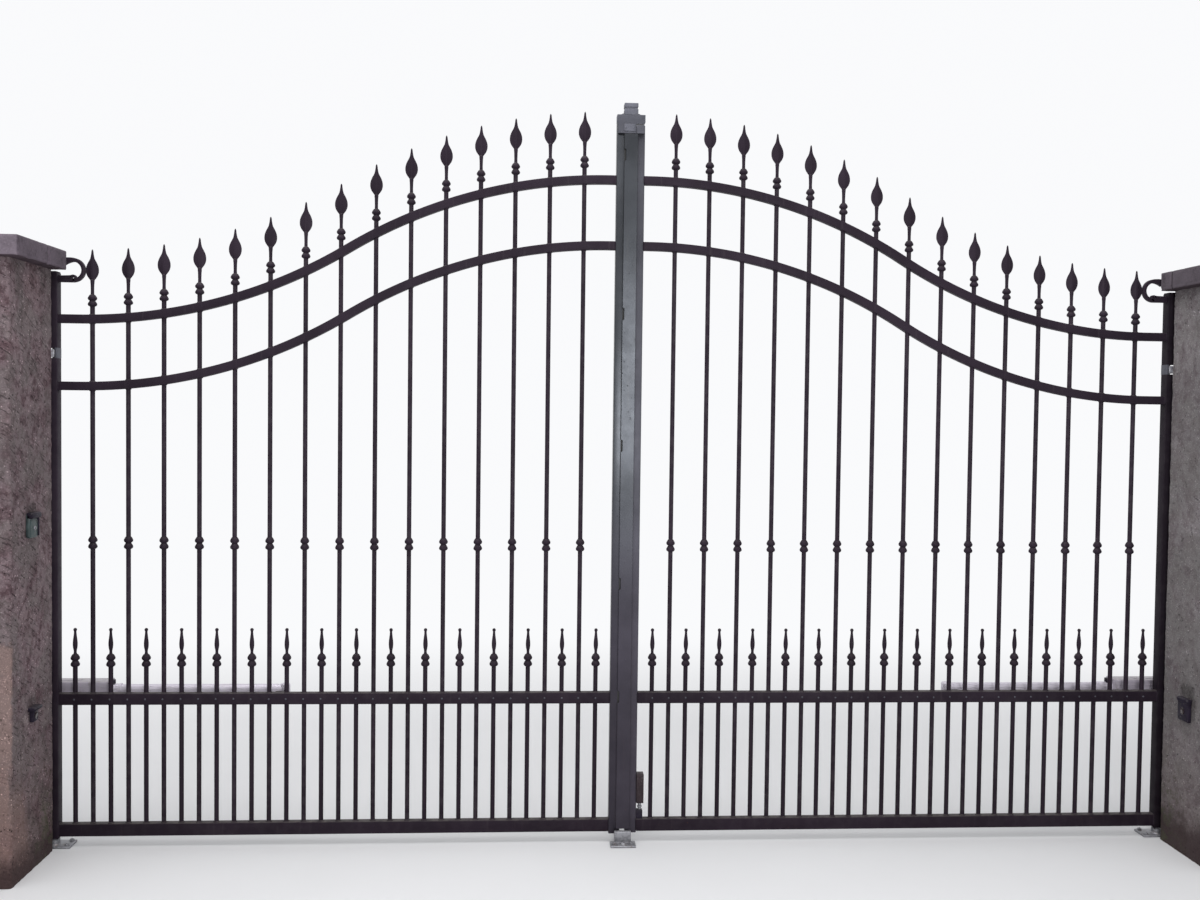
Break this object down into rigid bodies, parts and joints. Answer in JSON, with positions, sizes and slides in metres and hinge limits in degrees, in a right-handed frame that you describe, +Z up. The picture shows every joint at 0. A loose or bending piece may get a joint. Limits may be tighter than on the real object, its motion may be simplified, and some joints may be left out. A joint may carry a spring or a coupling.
{
  "type": "wrought iron driveway gate with two leaves and its pillars",
  "caption": "Double-leaf wrought iron driveway gate with spear-headed bars and S-curved rails, hung between plastered pillars and driven by telescopic swing operators",
  "frame": {"origin": "centre of the left pillar's foot, on the ground", "axes": "+X along the gate from the left pillar to the right one as seen from the street, +Y from the street into the property, +Z up"},
  "size_m": [4.96, 0.55, 2.639],
  "materials": {
    "gate_paint": "dark iron-grey paint, satin, worn at the edges",
    "plaster": "rough-cast lime plaster, stained and splashed at the foot",
    "cap_stone": "weathered grey stone slab",
    "galvanised": "galvanised steel",
    "housing_paint": "pale grey painted casting",
    "bright_tube": "satin tube",
    "dark_plastic": "matt moulded plastic",
    "switch_paint": "grey-green painted box",
    "lock_paint": "grey-brown painted lock case"
  },
  "bodies": {
    "root": {"left_pillar": "plaster", "right_pillar": "plaster", "left_pillar_cap": "cap_stone", "right_pillar_cap": "cap_stone", "left_upper_hinge": "galvanised", "right_upper_hinge": "galvanised", "left_ground_pivot": "galvanised", "right_ground_pivot": "galvanised", "ground_stop": "galvanised", "left_operator_bracket": "gate_paint", "right_operator_bracket": "gate_paint", "left_photocell": "dark_plastic", "right_photocell": "dark_plastic", "key_switch": "switch_paint"},
    "right_leaf": {"right_hinge_stile": "gate_paint", "right_meeting_stile": "gate_paint", "right_bottom_rail": "gate_paint", "right_mid_rail": "gate_paint", "right_lower_curved_rail": "gate_paint", "right_upper_curved_rail": "gate_paint", "right_long_bars": "gate_paint", "right_short_bars": "gate_paint", "right_spearheads": "gate_paint", "right_collars": "gate_paint", "right_scroll": "gate_paint", "right_arm_bracket": "gate_paint", "lock_case": "lock_paint", "drop_bolt": "galvanised", "bolt_guide": "dark_plastic"},
    "left_leaf": {"left_hinge_stile": "gate_paint", "left_meeting_stile": "gate_paint", "left_bottom_rail": "gate_paint", "left_mid_rail": "gate_paint", "left_lower_curved_rail": "gate_paint", "left_upper_curved_rail": "gate_paint", "left_long_bars": "gate_paint", "left_short_bars": "gate_paint", "left_spearheads": "gate_paint", "left_collars": "gate_paint", "left_scroll": "gate_paint", "left_arm_bracket": "gate_paint", "cover_strip": "gate_paint", "meeting_cap": "gate_paint"},
    "left_operator_housing": {"left_operator_housing": "housing_paint"},
    "left_operator_rod": {"left_operator_rod": "bright_tube"},
    "right_operator_housing": {"right_operator_housing": "housing_paint"},
    "right_operator_rod": {"right_operator_rod": "bright_tube"}
  },
  "joints": [
    {"name": "right_leaf_hinge", "type": "hinge", "parent": "root", "child": "right_leaf", "pos_m": [4.205, 0.205, 1], "axis": [0, 0, -1], "range_deg": [0, 90]},
    {"name": "left_leaf_hinge", "type": "hinge", "parent": "root", "child": "left_leaf", "pos_m": [0.215, 0.205, 1], "axis": [0, 0, 1], "range_deg": [0, 90]},
    {"name": "left_operator_swing", "type": "hinge", "parent": "root", "child": "left_operator_housing", "pos_m": [0.128, 0.3, 0.533], "axis": [0, 0, 1], "range_deg": [0, 91]},
    {"name": "left_arm_slide", "type": "slide", "parent": "left_operator_housing", "child": "left_operator_rod", "axis": [1, 0, 0], "range_m": [-0.183, 0]},
    {"name": "right_operator_swing", "type": "hinge", "parent": "root", "child": "right_operator_housing", "pos_m": [4.292, 0.3, 0.533], "axis": [0, 0, -1], "range_deg": [0, 91]},
    {"name": "right_arm_slide", "type": "slide", "parent": "right_operator_housing", "child": "right_operator_rod", "axis": [-1, 0, 0], "range_m": [-0.183, 0]}
  ],
  "couplings": [
    {"joint": "left_leaf_hinge", "follows": "right_leaf_hinge", "ratio": 1},
    {"joint": "left_operator_swing", "follows": "right_leaf_hinge", "ratio": 1.0075},
    {"joint": "left_arm_slide", "follows": "right_leaf_hinge", "m_per_rad": -0.11583},
    {"joint": "right_operator_swing", "follows": "right_leaf_hinge", "ratio": 1.0075},
    {"joint": "right_arm_slide", "follows": "right_leaf_hinge", "m_per_rad": -0.11583}
  ]
}
